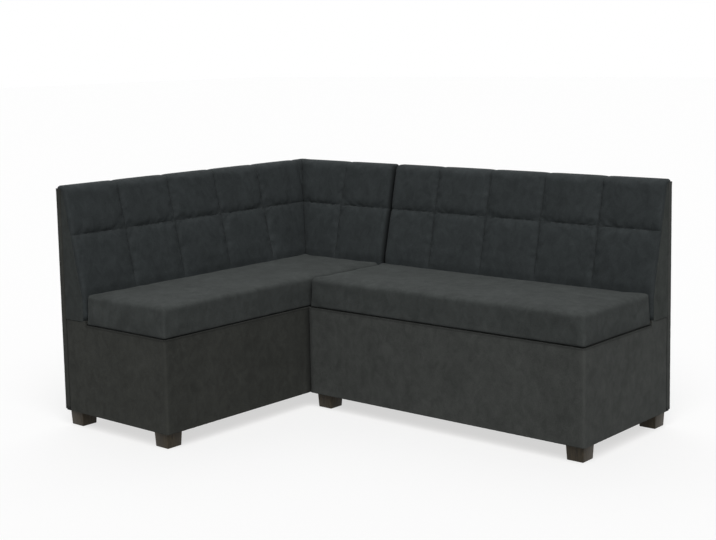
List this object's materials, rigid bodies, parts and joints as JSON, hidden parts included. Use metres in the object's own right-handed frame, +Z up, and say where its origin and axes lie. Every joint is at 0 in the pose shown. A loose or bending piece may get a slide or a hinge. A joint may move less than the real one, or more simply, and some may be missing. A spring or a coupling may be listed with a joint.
{
  "type": "corner storage bench",
  "caption": "Upholstered L-shaped corner bench on block feet, with tufted reclined backs and padded lids that lift over storage chests.",
  "frame": {"origin": "on the floor, under the middle of the bench's outline", "axes": "+X along the long wing, away from the corner; +Y towards the wall behind the long wing; +Z up. The short wing stands at -X and runs along -Y"},
  "size_m": [1.7, 1.25, 0.85],
  "materials": {
    "seat_fabric": "dark charcoal velour",
    "back_fabric": "dark charcoal velour",
    "base_fabric": "dark charcoal velour",
    "foot_wood": "dark brown stain",
    "chipboard": "raw chipboard",
    "plywood": "raw birch plywood",
    "hardboard": "raw hardboard",
    "steel": "zinc plated"
  },
  "bodies": {
    "frame": {"left_back_pad": "back_fabric", "return_back_pad": "back_fabric", "right_back_pad": "back_fabric", "short_base_cover": "base_fabric", "long_base_cover": "base_fabric", "short_foot_front_left": "foot_wood", "short_foot_front_right": "foot_wood", "short_foot_rear_left": "foot_wood", "short_foot_rear_right": "foot_wood", "long_foot_front_left": "foot_wood", "long_foot_front_right": "foot_wood", "long_foot_rear_left": "foot_wood", "long_foot_rear_right": "foot_wood", "short_front_panel": "chipboard", "short_rear_panel": "chipboard", "short_left_end_panel": "chipboard", "short_right_end_panel": "chipboard", "short_storage_floor": "chipboard", "short_ledge_board": "chipboard", "return_ledge_board": "chipboard", "long_front_panel": "chipboard", "long_rear_panel": "chipboard", "long_left_end_panel": "chipboard", "long_right_end_panel": "chipboard", "long_storage_floor": "chipboard", "long_ledge_board": "chipboard", "left_back_lower_rail": "plywood", "return_back_lower_rail": "plywood", "right_back_lower_rail": "plywood", "left_back_rib_1": "plywood", "left_back_rib_2": "plywood", "left_back_rib_3": "plywood", "return_back_rib_1": "plywood", "right_back_rib_1": "plywood", "right_back_rib_2": "plywood", "right_back_rib_3": "plywood", "left_back_front_panel": "hardboard", "return_back_front_panel": "hardboard", "right_back_front_panel": "hardboard", "left_back_rear_panel": "hardboard", "return_back_rear_panel": "hardboard", "right_back_rear_panel": "hardboard", "short_hinge_1_fixed_leaf": "steel", "short_hinge_2_fixed_leaf": "steel", "long_hinge_1_fixed_leaf": "steel", "long_hinge_2_fixed_leaf": "steel", "short_hinge_1_pin": "steel", "short_hinge_2_pin": "steel", "long_hinge_1_pin": "steel", "long_hinge_2_pin": "steel", "join_bolt_1": "steel", "join_bolt_2": "steel"},
    "short_lid": {"short_seat_cushion": "seat_fabric", "short_lid_board": "plywood", "short_hinge_1_lid_leaf": "steel", "short_hinge_2_lid_leaf": "steel"},
    "long_lid": {"long_seat_cushion": "seat_fabric", "long_lid_board": "plywood", "long_hinge_1_lid_leaf": "steel", "long_hinge_2_lid_leaf": "steel"}
  },
  "joints": [
    {"name": "short_lid_hinge", "type": "hinge", "parent": "frame", "child": "short_lid", "pos_m": [-0.7134, 0, 0.466], "axis": [0, -1, 0], "range_deg": [0, 75]},
    {"name": "long_lid_hinge", "type": "hinge", "parent": "frame", "child": "long_lid", "pos_m": [0.27, 0.4884, 0.466], "axis": [-1, 0, 0], "range_deg": [0, 75]}
  ]
}
